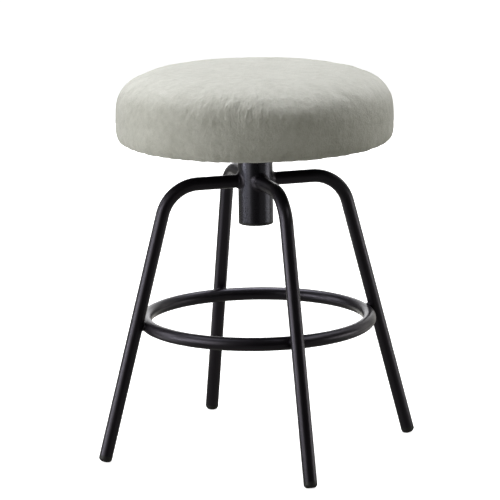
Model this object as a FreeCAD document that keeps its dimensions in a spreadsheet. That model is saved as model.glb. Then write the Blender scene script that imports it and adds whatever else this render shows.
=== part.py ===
import FreeCAD, Part
import math
import os

import Sketcher
from FreeCAD import Placement, Rotation, Vector

# A low round stool: four bent steel tubes welded to a short hub tube, a
# round foot ring welded inside the legs, and an upholstered seat that turns
# on a shaft and a ball bearing in the hub.
#
# Frame: origin on the floor under the seat's centre, +Z up, millimetres.
# The legs stand on the axes: right +X, back +Y, left -X, front -Y.

os.makedirs("parts", exist_ok=True)
doc = FreeCAD.newDocument("low_stool")

# ------------------------------------------------------------ dimensions

CELLS = [
    # frame tube
    ("tube_od", 17.2),
    ("tube_wall", 1.5),
    ("lean", 14.72),          # legs lean outwards by this angle, degrees
    ("foot_radius", 207.8),   # leg axis at floor height
    ("arm_height", 353.2),    # axis of the horizontal arm
    ("bend_radius", 49.0),
    ("leg_cut", 8.6),         # the tube's square-cut lower end, up the leg
    # foot ring
    ("ring_height", 171.7),
    ("ring_gap", 0.3),        # root gap that the weld fills
    ("ring_vent", 4.0),       # vent hole on the ring's underside
    ("ring_bead", 7.2),
    # hub
    ("hub_od", 44.5),
    ("hub_wall", 2.6),
    ("hub_low", 300.0),
    ("hub_high", 387.8),
    ("hub_round", 0.6),
    ("hub_bead", 3.0),
    ("hub_bead_ring", 9.3),
    # foot glides
    ("glide_plug", 14.1),
    ("glide_reach", 28.0),
    ("glide_end", 0.45),      # the glide's lower end, up the leg
    ("glide_round", 4.8),
    # hub bushes and end cap
    ("bush_bore", 25.1),
    ("bush_flange", 2.5),
    ("upper_sleeve", 20.0),
    ("lower_bush_low", 316.0),
    ("lower_bush_high", 332.0),
    ("cap_flange", 3.2),
    ("cap_plug", 10.0),
    ("cap_wall", 2.0),
    ("cap_round", 1.2),
    # thrust bearing
    ("race_thick", 3.5),
    ("race_od", 42.0),
    ("lower_race_bore", 27.0),
    ("upper_race_bore", 25.04),
    ("race_gap", 4.0),
    ("ball_circle", 34.6),
    ("ball_size", 5.8),
    ("ball_count", 14),
    ("groove_radius", 3.05),
    ("cage_thick", 2.2),
    ("cage_width", 6.6),
    ("cage_pocket", 5.9),
    # shaft and its keeper
    ("shaft_od", 25.0),
    ("shaft_low", 315.7),
    ("shaft_tap", 8.1),
    ("shaft_tap_depth", 24.0),
    ("keeper_od", 33.0),
    ("keeper_thick", 3.0),
    ("keeper_hole", 8.4),
    ("keeper_head", 13.0),
    ("keeper_head_high", 6.0),
    ("keeper_shank", 8.0),
    ("keeper_length", 22.0),
    # seat plate
    ("plate_side", 120.0),
    ("plate_thick", 4.0),
    ("plate_corner", 12.0),
    ("plate_edge", 0.6),
    ("plate_bore", 25.0),
    ("bolt_half", 45.0),      # bolts sit at plus and minus this in x and y
    ("bolt_hole", 6.5),
    ("bolt_size", 6.0),
    ("bolt_head", 10.0),      # across flats
    ("bolt_head_high", 4.0),
    ("bolt_length", 18.0),
    ("washer_od", 12.4),
    ("washer_bore", 6.4),
    ("washer_thick", 1.6),
    ("nut_flange", 18.0),
    ("nut_flange_thick", 1.2),
    ("nut_barrel", 7.8),
    ("nut_barrel_high", 9.0),
    ("nut_bore", 6.1),
    # seat
    ("dust_thick", 0.5),
    ("dust_inner", 136.0),
    ("dust_step", 141.0),
    ("dust_outer", 158.0),
    ("dust_hole", 7.4),
    ("board_od", 324.0),
    ("board_thick", 15.0),
    ("board_hole", 8.0),
    ("board_sink", 18.4),
    ("board_round", 2.0),
    ("cover_thick", 1.4),
    ("cover_lip", 142.0),     # inner edge of the fabric turned under
    ("cover_radius", 177.2),
    ("cover_waist", 431.0),
    ("cover_foot", 175.9),
    ("cover_shoulder", 176.2),
    ("cover_shoulder_high", 489.8),
    ("cover_crown", 498.5),
    ("cover_top_round", 46.0),
    ("cover_low_round", 12.5),
    # staples under the seat
    ("staple_radius", 150.0),
    ("staple_crown", 11.0),
    ("staple_wire", 0.6),
    ("staple_width", 1.2),
    ("staple_leg", 8.0),
    ("staple_count", 24),
]

sheet = doc.addObject("Spreadsheet::Sheet", "dims")
for row, (alias, number) in enumerate(CELLS, start=1):
    sheet.set("A%d" % row, alias)
    sheet.set("B%d" % row, str(number))
    sheet.setAlias("B%d" % row, alias)
doc.recompute()


class Dim:
    """A size: its number now, and the sheet expression that drives it."""

    def __init__(self, number, text):
        self.number = float(number)
        self.text = text

    def __add__(self, other):
        other = dim(other)
        return Dim(self.number + other.number, "(%s + %s)" % (self.text, other.text))

    def __sub__(self, other):
        other = dim(other)
        return Dim(self.number - other.number, "(%s - %s)" % (self.text, other.text))

    def __mul__(self, other):
        other = dim(other)
        return Dim(self.number * other.number, "(%s * %s)" % (self.text, other.text))

    def __truediv__(self, other):
        other = dim(other)
        return Dim(self.number / other.number, "(%s / %s)" % (self.text, other.text))

    def __neg__(self):
        return Dim(-self.number, "(0 - %s)" % self.text)

    def __radd__(self, other):
        return dim(other) + self

    def __rsub__(self, other):
        return dim(other) - self

    def __rmul__(self, other):
        return dim(other) * self


def dim(value):
    if isinstance(value, Dim):
        return value
    return Dim(value, repr(float(value)))


def sine(angle):
    return Dim(math.sin(math.radians(angle.number)), "sin(%s)" % angle.text)


def cosine(angle):
    return Dim(math.cos(math.radians(angle.number)), "cos(%s)" % angle.text)


def tangent(angle):
    return Dim(math.tan(math.radians(angle.number)), "tan(%s)" % angle.text)


SIZE = {alias: Dim(getattr(sheet, alias), "dims.%s" % alias) for alias, _ in CELLS}


def size(alias):
    return SIZE[alias]


# ------------------------------------------------------------- modelling

NODES = []


def node(obj, label):
    obj.Label = label
    NODES.append(obj)
    return obj


def new_body(name):
    body = doc.addObject("PartDesign::Body", name)
    body.AllowCompound = True
    return body


def origin(body, role):
    for feature in body.Origin.OriginFeatures:
        if feature.Role == role:
            return feature


def sketch_on(body, name, role, offset=None):
    sketch = body.newObject("Sketcher::SketchObject", name)
    sketch.AttachmentSupport = [(origin(body, role), "")]
    sketch.MapMode = "FlatFace"
    if offset is not None:
        sketch.setExpression("AttachmentOffset.Base.z", offset.text)
    return sketch


def hold(sketch, kind, *where, value):
    index = sketch.addConstraint(Sketcher.Constraint(kind, *where, value.number))
    sketch.setExpression("Constraints[%d]" % index, value.text)


def pin(sketch, geo, end, x, y):
    """Place one point of a sketch by its two coordinates."""
    x, y = dim(x), dim(y)
    if abs(x.number) < 1e-9:
        sketch.addConstraint(Sketcher.Constraint("PointOnObject", geo, end, -2))
    else:
        hold(sketch, "DistanceX", geo, end, value=x)
    if abs(y.number) < 1e-9:
        sketch.addConstraint(Sketcher.Constraint("PointOnObject", geo, end, -1))
    else:
        hold(sketch, "DistanceY", geo, end, value=y)


def polygon(sketch, points):
    """A closed outline through points given as pairs of sizes."""
    points = [(dim(x), dim(y)) for x, y in points]
    spots = [Vector(x.number, y.number, 0) for x, y in points]
    count = len(spots)
    first = sketch.GeometryCount
    for i in range(count):
        sketch.addGeometry(Part.LineSegment(spots[i], spots[(i + 1) % count]))
    for i in range(count):
        sketch.addConstraint(Sketcher.Constraint(
            "Coincident", first + i, 2, first + (i + 1) % count, 1))
    for i, (x, y) in enumerate(points):
        pin(sketch, first + i, 1, x, y)


def circle(sketch, x, y, radius):
    x, y, radius = dim(x), dim(y), dim(radius)
    geo = sketch.addGeometry(Part.Circle(
        Vector(x.number, y.number, 0), Vector(0, 0, 1), radius.number))
    hold(sketch, "Radius", geo, value=radius)
    if abs(x.number) < 1e-9 and abs(y.number) < 1e-9:
        sketch.addConstraint(Sketcher.Constraint("Coincident", geo, 3, -1, 1))
    else:
        pin(sketch, geo, 3, x, y)


def revolve(body, name, sketch, axis="V_Axis"):
    turn = body.newObject("PartDesign::Revolution", name)
    turn.Profile = sketch
    turn.ReferenceAxis = (sketch, [axis])
    turn.Angle = 360
    return turn


def groove(body, name, sketch):
    cut = body.newObject("PartDesign::Groove", name)
    cut.Profile = sketch
    cut.ReferenceAxis = (sketch, ["V_Axis"])
    cut.Angle = 360
    return cut


def pad(body, name, sketch, length, both=False):
    solid = body.newObject("PartDesign::Pad", name)
    solid.Profile = sketch
    solid.setExpression("Length", dim(length).text)
    if both:
        solid.SideType = "Symmetric"
    return solid


def pocket(body, name, sketch, length, both=False, upwards=False):
    cut = body.newObject("PartDesign::Pocket", name)
    cut.Profile = sketch
    cut.setExpression("Length", dim(length).text)
    if both:
        cut.SideType = "Symmetric"
    cut.Reversed = upwards
    return cut


def around(body, name, feature, count):
    ring = body.newObject("PartDesign::PolarPattern", name)
    ring.Originals = [feature]
    ring.Axis = (origin(body, "Z_Axis"), [""])
    ring.Angle = 360
    ring.setExpression("Occurrences", dim(count).text)
    body.Tip = ring
    return ring


def edges_where(feature, test):
    return ["Edge%d" % (i + 1) for i, edge in enumerate(feature.Shape.Edges) if test(edge)]


def round_edges(body, name, feature, radius, test):
    doc.recompute()
    chosen = edges_where(feature, test)
    if not chosen:
        raise RuntimeError("no edge to round on " + body.Name)
    fillet = body.newObject("PartDesign::Fillet", name)
    fillet.Base = (feature, chosen)
    fillet.setExpression("Radius", dim(radius).text)
    return fillet


def lies_at(z, radius=None):
    """Picks the horizontal round edges at one height, of one radius."""
    def test(edge):
        box = edge.BoundBox
        if abs(box.ZMin - z) > 1e-4 or abs(box.ZMax - z) > 1e-4:
            return False
        if radius is None:
            return True
        return abs(box.XLength / 2 - radius) < 1e-3
    return test


def turned(name, label, points):
    """A piece of revolution about the stool's axis."""
    body = new_body(name)
    sketch = sketch_on(body, name + "_profile", "XZ_Plane")
    polygon(sketch, points)
    revolve(body, name + "_turn", sketch)
    return node(body, label)


tube_od, tube_wall, lean = size("tube_od"), size("tube_wall"), size("lean")
arm, foot = size("arm_height"), size("foot_radius")
hub_od, hub_wall = size("hub_od"), size("hub_wall")
hub_low, hub_high = size("hub_low"), size("hub_high")
hub_id = hub_od - 2 * hub_wall

SIDES = [("right", 0), ("back", 90), ("left", 180), ("front", 270)]

# Legs: one tube each, out from the hub, round the shoulder bend, and down to
# the floor. The inner end is coped to the hub, the lower end is cut square.

corner = foot - arm * tangent(lean)
reach = size("bend_radius") * tangent((90 - lean) / 2)


def along_leg(distance, across):
    """A point at a distance up the leg's axis from the floor, and across it."""
    distance, across = dim(distance), dim(across)
    return (foot - distance * sine(lean) + across * cosine(lean),
            distance * cosine(lean) + across * sine(lean))


def make_leg(side, angle):
    body = new_body("leg_" + side)
    path = sketch_on(body, "leg_path_" + side, "XZ_Plane")
    stops = [
        (hub_od / 4, arm),
        (corner - reach, arm),
        (corner + reach * sine(lean), arm - reach * cosine(lean)),
        (foot + 12 * tangent(lean), dim(-12)),
    ]
    spots = [Vector(x.number, y.number, 0) for x, y in stops]
    centre = Vector((corner - reach).number, (arm - size("bend_radius")).number, 0)
    path.addGeometry(Part.LineSegment(spots[0], spots[1]))
    path.addGeometry(Part.ArcOfCircle(
        Part.Circle(centre, Vector(0, 0, 1), size("bend_radius").number),
        math.radians(lean.number), math.pi / 2))
    path.addGeometry(Part.LineSegment(spots[2], spots[3]))
    path.addConstraint(Sketcher.Constraint("Coincident", 0, 2, 1, 2))
    path.addConstraint(Sketcher.Constraint("Coincident", 1, 1, 2, 1))
    pin(path, 0, 1, *stops[0])
    pin(path, 0, 2, *stops[1])
    pin(path, 2, 1, *stops[2])
    pin(path, 2, 2, *stops[3])
    hold(path, "Radius", 1, value=size("bend_radius"))

    section = sketch_on(body, "leg_section_" + side, "YZ_Plane", hub_od / 4)
    circle(section, 0, arm, tube_od / 2)
    circle(section, 0, arm, tube_od / 2 - tube_wall)
    doc.recompute()

    pipe = body.newObject("PartDesign::AdditivePipe", "leg_tube_" + side)
    pipe.Profile = section
    pipe.Spine = (path, ["Edge1", "Edge2", "Edge3"])
    doc.recompute()
    whole = pipe.Shape.Volume

    cope = sketch_on(body, "leg_cope_" + side, "XY_Plane")
    circle(cope, 0, 0, hub_od / 2)
    coped = pocket(body, "leg_coped_" + side, cope, 3 * arm, both=True)

    square = sketch_on(body, "leg_square_" + side, "XZ_Plane")
    polygon(square, [along_leg(-60, -60), along_leg(-60, 60),
                     along_leg(size("leg_cut"), 60), along_leg(size("leg_cut"), -60)])
    cut = pocket(body, "leg_cut_" + side, square, 200, both=True)
    doc.recompute()
    if not cut.Shape.Volume < coped.Shape.Volume < whole:
        raise RuntimeError("a leg was not cut at both ends")
    body.Placement = Placement(Vector(0, 0, 0), Rotation(Vector(0, 0, 1), angle))
    return node(body, "leg_" + side)


for side, angle in SIDES:
    make_leg(side, angle)

# Foot glides: a plastic foot on each leg's lower end, as wide as the tube and
# rounded, with a small flat where it stands on the floor, and a plug that goes
# up into the tube.


def leg_turn(body, name, low, high, radius):
    """A cylinder about the leg's axis."""
    sketch = sketch_on(body, name + "_profile", "XZ_Plane")
    ends = [along_leg(low - 10, 0), along_leg(high + 10, 0)]
    line = sketch.addGeometry(Part.LineSegment(
        *[Vector(x.number, y.number, 0) for x, y in ends]), True)
    pin(sketch, line, 1, *ends[0])
    pin(sketch, line, 2, *ends[1])
    polygon(sketch, [along_leg(low, 0), along_leg(low, radius),
                     along_leg(high, radius), along_leg(high, 0)])
    return revolve(body, name, sketch, "Axis0")


def make_glide(side, angle):
    body = new_body("foot_glide_" + side)
    blank = leg_turn(body, "glide_foot_" + side, size("glide_end"), size("leg_cut"), tube_od / 2)
    end = along_leg(size("glide_end"), 0)
    middle = Vector(end[0].number, 0, end[1].number)
    rounded = round_edges(body, "glide_round_" + side, blank, size("glide_round"),
                          lambda edge: edge.Closed and hasattr(edge.Curve, "Radius")
                          and (edge.Curve.Center - middle).Length < 1e-3)
    under = sketch_on(body, "glide_under_" + side, "XZ_Plane")
    polygon(under, [(foot - 40, dim(-40)), (foot + 40, dim(-40)),
                    (foot + 40, dim(0)), (foot - 40, dim(0))])
    soft = pocket(body, "glide_flat_" + side, under, 80, both=True)
    doc.recompute()
    if not soft.Shape.Volume < rounded.Shape.Volume < blank.Shape.Volume:
        raise RuntimeError("a foot glide has no round or no flat")
    leg_turn(body, "glide_plug_" + side, dim(5), size("glide_reach"), size("glide_plug") / 2)
    doc.recompute()
    if body.Shape.Volume <= soft.Shape.Volume:
        raise RuntimeError("a foot glide has no plug")
    body.Placement = Placement(Vector(0, 0, 0), Rotation(Vector(0, 0, 1), angle))
    return node(body, "foot_glide_" + side)


for side, angle in SIDES:
    make_glide(side, angle)

# Foot ring: a tube bent into a full circle, inside the legs, with a small
# vent hole underneath.

ring_height = size("ring_height")
ring_radius = foot - ring_height * tangent(lean) - (tube_od + size("ring_gap")) / cosine(lean)

ring = new_body("foot_ring")
ring_profile = sketch_on(ring, "ring_profile", "XZ_Plane")
circle(ring_profile, ring_radius, ring_height, tube_od / 2)
circle(ring_profile, ring_radius, ring_height, tube_od / 2 - tube_wall)
ring_turn = revolve(ring, "ring_turn", ring_profile)
ring_vent = sketch_on(ring, "ring_vent_spot", "XY_Plane", ring_height)
circle(ring_vent, ring_radius * 0.7071, ring_radius * 0.7071, size("ring_vent") / 2)
vented = pocket(ring, "ring_vented", ring_vent, tube_od)
doc.recompute()
if not vented.Shape.Volume < ring_turn.Shape.Volume:
    raise RuntimeError("the foot ring has no vent")
node(ring, "foot_ring")

# Hub tube.

hub = new_body("hub_tube")
hub_profile = sketch_on(hub, "hub_profile", "XZ_Plane")
polygon(hub_profile, [(hub_id / 2, hub_low), (hub_od / 2, hub_low),
                      (hub_od / 2, hub_high), (hub_id / 2, hub_high)])
hub_turn = revolve(hub, "hub_turn", hub_profile)
round_edges(hub, "hub_rounded", hub_turn, size("hub_round"),
            lambda edge: lies_at(hub_low.number, hub_od.number / 2)(edge)
            or lies_at(hub_high.number, hub_od.number / 2)(edge))
node(hub, "hub_tube")


def turn_about_z(obj, distance, height, angle):
    """Set an object out from the axis, in the direction of one leg."""
    aim = dim(angle)
    obj.setExpression("Placement.Base.x", (dim(distance) * cosine(aim)).text)
    obj.setExpression("Placement.Base.y", (dim(distance) * sine(aim)).text)
    obj.setExpression("Placement.Base.z", dim(height).text)


def aimed(angle, tilt):
    """Leans the Z axis towards a leg's direction."""
    return Rotation(Vector(0, 0, 1), angle).multiply(Rotation(Vector(0, 1, 0), tilt))


# Weld beads where the arms meet the hub: a bead round each arm, trimmed by
# the hub and the arm.


def trimmed(name, blank, trims):
    """A blank with the tubes that pass through it taken out."""
    trim = doc.addObject("Part::MultiFuse", name + "_trim")
    trim.Shapes = trims
    cut = doc.addObject("Part::Cut", name + "_cut")
    cut.Base = blank
    cut.Tool = trim
    return cut


arm_beads = []
for side, angle in SIDES:
    bead = doc.addObject("Part::Torus", "arm_bead_" + side)
    bead.setExpression("Radius1", size("hub_bead_ring").text)
    bead.setExpression("Radius2", size("hub_bead").text)
    bead.Placement = Placement(Vector(0, 0, 0), aimed(angle, 90))
    turn_about_z(bead, hub_od / 2, arm, angle)
    hub_core = doc.addObject("Part::Cylinder", "hub_core_" + side)
    hub_core.setExpression("Radius", (hub_od / 2).text)
    hub_core.setExpression("Height", (hub_high - hub_low + 40).text)
    hub_core.Placement = Placement(Vector(0, 0, 0), Rotation(Vector(0, 0, 1), angle + 180))
    hub_core.setExpression("Placement.Base.z", (hub_low - 20).text)
    arm_core = doc.addObject("Part::Cylinder", "arm_core_" + side)
    arm_core.setExpression("Radius", (tube_od / 2).text)
    arm_core.Height = 60
    arm_core.Placement = Placement(Vector(0, 0, 0), aimed(angle, 90))
    arm_core.setExpression("Placement.Base.z", arm.text)
    arm_beads.append(trimmed("arm_bead_" + side, bead, [hub_core, arm_core]))
hub_beads = doc.addObject("Part::Compound", "hub_weld_beads")
hub_beads.Links = arm_beads
node(hub_beads, "hub_weld_beads")

# Weld beads where the foot ring meets the legs: a bead about each crossing,
# trimmed by the ring and the leg.

half_step = (tube_od + size("ring_gap")) / 2
ring_drops = []
for side, angle in SIDES:
    drop = doc.addObject("Part::Sphere", "ring_drop_" + side)
    drop.setExpression("Radius", size("ring_bead").text)
    turn_about_z(drop, ring_radius + half_step * cosine(lean),
                 ring_height + half_step * sine(lean), angle)
    ring_core = doc.addObject("Part::Torus", "ring_core_" + side)
    ring_core.setExpression("Radius1", ring_radius.text)
    ring_core.setExpression("Radius2", (tube_od / 2).text)
    ring_core.Placement = Placement(Vector(0, 0, 0), Rotation(Vector(0, 0, 1), angle + 180))
    ring_core.setExpression("Placement.Base.z", ring_height.text)
    leg_core = doc.addObject("Part::Cylinder", "leg_core_" + side)
    leg_core.setExpression("Radius", (tube_od / 2).text)
    leg_core.Height = 300
    leg_core.Placement = Placement(Vector(0, 0, 0), aimed(angle, -lean.number))
    turn_about_z(leg_core, foot, 0, angle)
    ring_drops.append(trimmed("ring_drop_" + side, drop, [ring_core, leg_core]))
ring_beads = doc.addObject("Part::Compound", "ring_weld_beads")
ring_beads.Links = ring_drops
node(ring_beads, "ring_weld_beads")

# Plastic bushes that carry the shaft in the hub, and the cap that closes the
# hub's lower end.

bore = size("bush_bore")
flange_top = hub_high + size("bush_flange")
sleeve_low = hub_high - size("upper_sleeve")
turned("upper_bush", "upper_bush", [
    (bore / 2, sleeve_low), (hub_id / 2, sleeve_low), (hub_id / 2, hub_high),
    (hub_od / 2, hub_high), (hub_od / 2, flange_top), (bore / 2, flange_top),
])
turned("lower_bush", "lower_bush", [
    (bore / 2, size("lower_bush_low")), (hub_id / 2, size("lower_bush_low")),
    (hub_id / 2, size("lower_bush_high")), (bore / 2, size("lower_bush_high")),
])

cap_low, plug_top = hub_low - size("cap_flange"), hub_low + size("cap_plug")
plug_in = hub_id / 2 - size("cap_wall")
cap = new_body("hub_end_cap")
cap_profile = sketch_on(cap, "cap_profile", "XZ_Plane")
polygon(cap_profile, [
    (dim(0), cap_low), (hub_od / 2, cap_low), (hub_od / 2, hub_low),
    (hub_id / 2, hub_low), (hub_id / 2, plug_top), (plug_in, plug_top),
    (plug_in, hub_low), (dim(0), hub_low),
])
cap_turn = revolve(cap, "cap_turn", cap_profile)
round_edges(cap, "cap_rounded", cap_turn, size("cap_round"),
            lies_at(cap_low.number, hub_od.number / 2))
node(cap, "hub_end_cap")

# Thrust ball bearing between the hub and the seat plate: two grooved races,
# and a caged ring of balls.

race_mid = flange_top + size("race_thick") + size("race_gap") / 2
ball_radius = size("ball_circle") / 2


def make_race(name, inner, low):
    body = new_body(name)
    sketch = sketch_on(body, name + "_profile", "XZ_Plane")
    high = low + size("race_thick")
    polygon(sketch, [(inner / 2, low), (size("race_od") / 2, low),
                     (size("race_od") / 2, high), (inner / 2, high)])
    blank = revolve(body, name + "_turn", sketch)
    track = sketch_on(body, name + "_track", "XZ_Plane")
    circle(track, ball_radius, race_mid, size("groove_radius"))
    cut = groove(body, name + "_grooved", track)
    doc.recompute()
    if not cut.Shape.Volume < blank.Shape.Volume:
        raise RuntimeError("a race has no groove")
    return node(body, name)


make_race("bearing_lower_race", size("lower_race_bore"), flange_top)
make_race("bearing_upper_race", size("upper_race_bore"),
          flange_top + size("race_thick") + size("race_gap"))

cage = new_body("bearing_cage")
cage_profile = sketch_on(cage, "cage_profile", "XZ_Plane")
cage_low = race_mid - size("cage_thick") / 2
polygon(cage_profile, [
    (ball_radius - size("cage_width") / 2, cage_low),
    (ball_radius + size("cage_width") / 2, cage_low),
    (ball_radius + size("cage_width") / 2, cage_low + size("cage_thick")),
    (ball_radius - size("cage_width") / 2, cage_low + size("cage_thick")),
])
cage_turn = revolve(cage, "cage_turn", cage_profile)
cage_spot = sketch_on(cage, "cage_spot", "XY_Plane", race_mid)
circle(cage_spot, ball_radius, 0, size("cage_pocket") / 2)
cage_hole = pocket(cage, "cage_hole", cage_spot, size("cage_thick") * 3, both=True)
cage_ring = around(cage, "cage_holes", cage_hole, size("ball_count"))
doc.recompute()
if not cage_ring.Shape.Volume < cage_hole.Shape.Volume < cage_turn.Shape.Volume:
    raise RuntimeError("the cage has no pockets")
node(cage, "bearing_cage")

balls = new_body("bearing_balls")
ball = balls.newObject("PartDesign::AdditiveSphere", "ball")
ball.setExpression("Radius", (size("ball_size") / 2).text)
ball.setExpression("Placement.Base.x", ball_radius.text)
ball.setExpression("Placement.Base.z", race_mid.text)
doc.recompute()
around(balls, "ball_ring", ball, size("ball_count"))
node(balls, "bearing_balls")

# Shaft, welded into the seat plate and kept in the hub by a large washer and
# a bolt in its lower end.

plate_low = flange_top + 2 * size("race_thick") + size("race_gap")
plate_high = plate_low + size("plate_thick")
shaft_low, shaft_od = size("shaft_low"), size("shaft_od")
tap_top = shaft_low + size("shaft_tap_depth")
turned("swivel_shaft", "swivel_shaft", [
    (size("shaft_tap") / 2, shaft_low), (shaft_od / 2, shaft_low),
    (shaft_od / 2, plate_high), (dim(0), plate_high),
    (dim(0), tap_top), (size("shaft_tap") / 2, tap_top),
])

keeper_low = shaft_low - size("keeper_thick")
turned("retaining_washer", "retaining_washer", [
    (size("keeper_hole") / 2, keeper_low), (size("keeper_od") / 2, keeper_low),
    (size("keeper_od") / 2, shaft_low), (size("keeper_hole") / 2, shaft_low),
])


def hexagon(sketch, x, y, flats):
    """A closed hexagon about a point, two of its sides level."""
    x, y, half = dim(x), dim(y), dim(flats) / 2
    side = half * 2 * tangent(dim(30))
    polygon(sketch, [
        (x + side, y), (x + side / 2, y + half), (x - side / 2, y + half),
        (x - side, y), (x - side / 2, y - half), (x + side / 2, y - half),
    ])


keeper = new_body("retaining_bolt")
keeper_hex = sketch_on(keeper, "keeper_hex", "XY_Plane",
                       keeper_low - size("keeper_head_high"))
hexagon(keeper_hex, 0, 0, size("keeper_head"))
pad(keeper, "keeper_head_pad", keeper_hex, size("keeper_head_high"))
keeper_round = sketch_on(keeper, "keeper_round", "XY_Plane", keeper_low)
circle(keeper_round, 0, 0, size("keeper_shank") / 2)
pad(keeper, "keeper_shank_pad", keeper_round, size("keeper_length"))
node(keeper, "retaining_bolt")

# Seat plate: a square steel plate with rounded corners, bored for the shaft
# and drilled for the four bolts.

half = size("plate_side") / 2
plate = new_body("seat_plate")
plate_outline = sketch_on(plate, "plate_outline", "XY_Plane", plate_low)
polygon(plate_outline, [(-half, -half), (half, -half), (half, half), (-half, half)])
circle(plate_outline, 0, 0, size("plate_bore") / 2)
plate_pad = pad(plate, "plate_pad", plate_outline, size("plate_thick"))
plate_cornered = round_edges(
    plate, "plate_cornered", plate_pad, size("plate_corner"),
    lambda edge: edge.BoundBox.ZLength > 1 and edge.BoundBox.XLength < 1e-6
    and abs(edge.BoundBox.XMin) > half.number - 1)
plate_eased = round_edges(
    plate, "plate_eased", plate_cornered, size("plate_edge"),
    lambda edge: edge.BoundBox.ZLength < 1e-6
    and max(abs(edge.BoundBox.XMin), abs(edge.BoundBox.XMax),
            abs(edge.BoundBox.YMin), abs(edge.BoundBox.YMax)) > half.number - 1)
doc.recompute()
plate_spots = sketch_on(plate, "plate_spots", "XY_Plane", plate_high)
BOLTS = [(1, 1), (-1, 1), (-1, -1), (1, -1)]
for sx, sy in BOLTS:
    circle(plate_spots, size("bolt_half") * sx, size("bolt_half") * sy, size("bolt_hole") / 2)
doc.recompute()
plate_holes = plate.newObject("PartDesign::Hole", "plate_holes")
plate_holes.Profile = plate_spots
plate_holes.DepthType = "ThroughAll"
plate_holes.setExpression("Diameter", size("bolt_hole").text)
doc.recompute()
if not plate_holes.Shape.Volume < plate_eased.Shape.Volume - 400:
    raise RuntimeError("the seat plate has no bolt holes")
node(plate, "seat_plate")

# Bolts and washers under the plate, and the flanged nuts let into the top of
# the seat board.

washer_low = plate_low - size("washer_thick")
dust_low = plate_high
board_low = dust_low + size("dust_thick")
board_high = board_low + size("board_thick")

bolts = new_body("plate_bolts")
bolt_heads = sketch_on(bolts, "bolt_heads", "XY_Plane", washer_low - size("bolt_head_high"))
for sx, sy in BOLTS:
    hexagon(bolt_heads, size("bolt_half") * sx, size("bolt_half") * sy, size("bolt_head"))
pad(bolts, "bolt_head_pad", bolt_heads, size("bolt_head_high"))
bolt_shanks = sketch_on(bolts, "bolt_shanks", "XY_Plane", washer_low)
for sx, sy in BOLTS:
    circle(bolt_shanks, size("bolt_half") * sx, size("bolt_half") * sy, size("bolt_size") / 2)
pad(bolts, "bolt_shank_pad", bolt_shanks, size("bolt_length"))
node(bolts, "plate_bolts")

washers = new_body("plate_washers")
washer_rings = sketch_on(washers, "washer_rings", "XY_Plane", washer_low)
for sx, sy in BOLTS:
    circle(washer_rings, size("bolt_half") * sx, size("bolt_half") * sy, size("washer_od") / 2)
    circle(washer_rings, size("bolt_half") * sx, size("bolt_half") * sy, size("washer_bore") / 2)
pad(washers, "washer_pad", washer_rings, size("washer_thick"))
node(washers, "plate_washers")

nut_seat = board_high - size("nut_flange_thick")
nuts = new_body("tee_nuts")
nut_flanges = sketch_on(nuts, "nut_flanges", "XY_Plane", nut_seat)
nut_barrels = sketch_on(nuts, "nut_barrels", "XY_Plane", nut_seat - size("nut_barrel_high"))
for sx, sy in BOLTS:
    x, y = size("bolt_half") * sx, size("bolt_half") * sy
    circle(nut_flanges, x, y, size("nut_flange") / 2)
    circle(nut_flanges, x, y, size("nut_bore") / 2)
    circle(nut_barrels, x, y, size("nut_barrel") / 2)
    circle(nut_barrels, x, y, size("nut_bore") / 2)
pad(nuts, "nut_flange_pad", nut_flanges, size("nut_flange_thick"))
pad(nuts, "nut_barrel_pad", nut_barrels, size("nut_barrel_high"))
node(nuts, "tee_nuts")

# Seat board: a plywood disc, drilled and counterbored for the nuts.

board = new_body("seat_board")
board_profile = sketch_on(board, "board_profile", "XZ_Plane")
board_radius = size("board_od") / 2
polygon(board_profile, [(dim(0), board_low), (board_radius, board_low),
                        (board_radius, board_high), (dim(0), board_high)])
board_turn = revolve(board, "board_turn", board_profile)
board_eased = round_edges(
    board, "board_eased", board_turn, size("board_round"),
    lambda edge: lies_at(board_low.number, board_radius.number)(edge)
    or lies_at(board_high.number, board_radius.number)(edge))
doc.recompute()
board_spots = sketch_on(board, "board_spots", "XY_Plane", board_high)
for sx, sy in BOLTS:
    circle(board_spots, size("bolt_half") * sx, size("bolt_half") * sy, size("board_hole") / 2)
doc.recompute()
board_holes = board.newObject("PartDesign::Hole", "board_holes")
board_holes.Profile = board_spots
board_holes.DepthType = "ThroughAll"
board_holes.setExpression("Diameter", size("board_hole").text)
board_holes.HoleCutType = "Counterbore"
board_holes.HoleCutCustomValues = True
board_holes.setExpression("HoleCutDiameter", size("board_sink").text)
board_holes.setExpression("HoleCutDepth", size("nut_flange_thick").text)
doc.recompute()
if not board_holes.Shape.Volume < board_eased.Shape.Volume - 3500:
    raise RuntimeError("the seat board has no nut holes")
node(board, "seat_board")

# Dust cover: thin black cloth over the board's underside. It steps down over
# the turned-under edge of the seat fabric, and is pierced by the bolts.

dust_thick = size("dust_thick")
dust_drop = size("cover_thick")
dust = new_body("dust_cover")
dust_profile = sketch_on(dust, "dust_profile", "XZ_Plane")
polygon(dust_profile, [
    (dim(0), dust_low), (size("dust_inner"), dust_low),
    (size("dust_step"), dust_low - dust_drop), (size("dust_outer"), dust_low - dust_drop),
    (size("dust_outer"), dust_low - dust_drop + dust_thick),
    (size("dust_step"), dust_low - dust_drop + dust_thick),
    (size("dust_inner"), dust_low + dust_thick), (dim(0), dust_low + dust_thick),
])
dust_turn = revolve(dust, "dust_turn", dust_profile)
dust_spots = sketch_on(dust, "dust_spots", "XY_Plane", board_high)
for sx, sy in BOLTS:
    circle(dust_spots, size("bolt_half") * sx, size("bolt_half") * sy, size("dust_hole") / 2)
dust_holes = pocket(dust, "dust_holes", dust_spots, size("board_thick") * 3)
doc.recompute()
if not dust_holes.Shape.Volume < dust_turn.Shape.Volume:
    raise RuntimeError("the dust cover has no holes")
node(dust, "dust_cover")

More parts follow.
